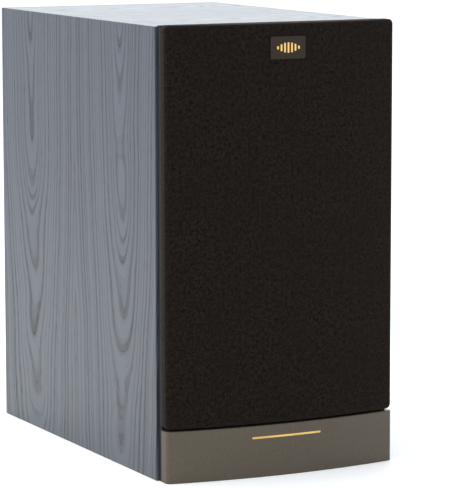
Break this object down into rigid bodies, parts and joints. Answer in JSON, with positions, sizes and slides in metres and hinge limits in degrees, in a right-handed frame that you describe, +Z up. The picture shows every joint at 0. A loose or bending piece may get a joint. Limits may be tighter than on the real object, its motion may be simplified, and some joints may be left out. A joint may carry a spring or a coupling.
{
  "type": "bookshelf speaker",
  "caption": "Upright two-way speaker with a wood-grain cabinet, bowed cloth grille over a bowed trim strip, rear port and screw terminals.",
  "frame": {"origin": "centre of the footprint, on the surface it stands on", "axes": "+Z up, the grille faces -Y, the terminals face +Y, +X to the right as seen from the front"},
  "size_m": [0.168, 0.276, 0.293],
  "materials": {
    "wood_wrap": "satin black-ash grain vinyl wrap",
    "baffle_black": "satin black laminate",
    "bare_board": "raw fibreboard",
    "wadding": "loose polyester fibre",
    "trim_bronze": "satin titanium bronze paint",
    "accent_gold": "satin gold",
    "black_plastic": "moulded, fine texture",
    "grille_fabric": "black knitted acoustic cloth",
    "badge_gloss": "gloss black",
    "basket_paint": "black powder coat",
    "soft_rubber": "matt rubber",
    "cone_composite": "woven fibre composite",
    "cap_composite": "semi-gloss",
    "former_film": "amber film",
    "copper_wire": "enamelled copper",
    "spider_cloth": "resin-treated cloth",
    "plated_steel": "zinc plated",
    "ferrite": "sintered, matt",
    "terminal_board": "pressed fibre board",
    "screw_black": "black oxide",
    "dome_fabric": "coated silk",
    "gold_plate": "bright gold plate",
    "cap_black": "gloss",
    "cap_red": "gloss",
    "circuit_board": "solder mask",
    "capacitor_film": "dipped film",
    "wire_insulation": "soft PVC"
  },
  "bodies": {
    "cabinet": {"left_side_panel": "wood_wrap", "right_side_panel": "wood_wrap", "top_panel": "wood_wrap", "bottom_panel": "wood_wrap", "rear_panel": "wood_wrap", "front_baffle": "baffle_black", "window_brace": "bare_board", "corner_blocks": "bare_board", "damping_wadding": "wadding", "bottom_trim": "trim_bronze", "trim_accent": "accent_gold", "trim_studs": "black_plastic", "grille_sockets": "black_plastic", "port_tube": "black_plastic", "terminal_cup": "black_plastic", "tweeter_faceplate": "black_plastic", "woofer_frame": "basket_paint", "woofer_gasket_ring": "soft_rubber", "woofer_surround": "soft_rubber", "terminal_gasket": "soft_rubber", "woofer_leads": "copper_wire", "inductors": "copper_wire", "woofer_spider": "spider_cloth", "woofer_top_plate": "plated_steel", "woofer_yoke": "plated_steel", "tweeter_top_plate": "plated_steel", "tweeter_yoke": "plated_steel", "post_nuts": "plated_steel", "board_standoffs": "plated_steel", "woofer_magnet": "ferrite", "tweeter_magnet": "ferrite", "woofer_terminal": "terminal_board", "woofer_screws": "screw_black", "tweeter_screws": "screw_black", "terminal_screws": "screw_black", "binding_posts": "gold_plate", "jumper_straps": "gold_plate", "crossover_board": "circuit_board", "capacitors": "capacitor_film", "internal_wires": "wire_insulation"},
    "grille": {"grille_frame": "black_plastic", "grille_cloth": "grille_fabric", "grille_pegs": "black_plastic", "badge_plate": "badge_gloss", "badge_emblem": "accent_gold"},
    "woofer_mover": {"woofer_cone": "cone_composite", "woofer_dust_cap": "cap_composite", "woofer_former": "former_film", "woofer_winding": "copper_wire"},
    "tweeter_mover": {"tweeter_dome": "dome_fabric", "tweeter_voice_coil": "copper_wire"},
    "clamp_1": {"post_washer_1": "gold_plate"},
    "cap_1": {"post_cap_1": "cap_black"},
    "clamp_2": {"post_washer_2": "gold_plate"},
    "cap_2": {"post_cap_2": "cap_red"},
    "clamp_3": {"post_washer_3": "gold_plate"},
    "cap_3": {"post_cap_3": "cap_black"},
    "clamp_4": {"post_washer_4": "gold_plate"},
    "cap_4": {"post_cap_4": "cap_red"}
  },
  "joints": [
    {"name": "grille_pull", "type": "slide", "parent": "cabinet", "child": "grille", "axis": [0, -1, 0], "range_m": [0, 0.06]},
    {"name": "woofer_stroke", "type": "slide", "parent": "cabinet", "child": "woofer_mover", "axis": [0, -1, 0], "range_m": [-0.005, 0.005], "stiffness_N_per_m": 1100, "deforming": ["woofer_surround", "woofer_spider", "woofer_leads"]},
    {"name": "tweeter_stroke", "type": "slide", "parent": "cabinet", "child": "tweeter_mover", "axis": [0, -1, 0], "range_m": [-0.0004, 0.0004], "stiffness_N_per_m": 1500},
    {"name": "clamp_1_slide", "type": "slide", "parent": "cabinet", "child": "clamp_1", "axis": [0, 1, 0], "range_m": [0, 0.0035]},
    {"name": "cap_1_turn", "type": "hinge", "parent": "clamp_1", "child": "cap_1", "pos_m": [-0.0095, 0.127, 0.087], "axis": [0, 1, 0], "range_deg": [0, 1800]},
    {"name": "clamp_2_slide", "type": "slide", "parent": "cabinet", "child": "clamp_2", "axis": [0, 1, 0], "range_m": [0, 0.0035]},
    {"name": "cap_2_turn", "type": "hinge", "parent": "clamp_2", "child": "cap_2", "pos_m": [0.0095, 0.127, 0.087], "axis": [0, 1, 0], "range_deg": [0, 1800]},
    {"name": "clamp_3_slide", "type": "slide", "parent": "cabinet", "child": "clamp_3", "axis": [0, 1, 0], "range_m": [0, 0.0035]},
    {"name": "cap_3_turn", "type": "hinge", "parent": "clamp_3", "child": "cap_3", "pos_m": [-0.0095, 0.127, 0.057], "axis": [0, 1, 0], "range_deg": [0, 1800]},
    {"name": "clamp_4_slide", "type": "slide", "parent": "cabinet", "child": "clamp_4", "axis": [0, 1, 0], "range_m": [0, 0.0035]},
    {"name": "cap_4_turn", "type": "hinge", "parent": "clamp_4", "child": "cap_4", "pos_m": [0.0095, 0.127, 0.057], "axis": [0, 1, 0], "range_deg": [0, 1800]}
  ],
  "couplings": [
    {"joint": "cap_1_turn", "follows": "clamp_1_slide", "rad_per_m": 8976},
    {"joint": "cap_2_turn", "follows": "clamp_2_slide", "rad_per_m": 8976},
    {"joint": "cap_3_turn", "follows": "clamp_3_slide", "rad_per_m": 8976},
    {"joint": "cap_4_turn", "follows": "clamp_4_slide", "rad_per_m": 8976}
  ]
}
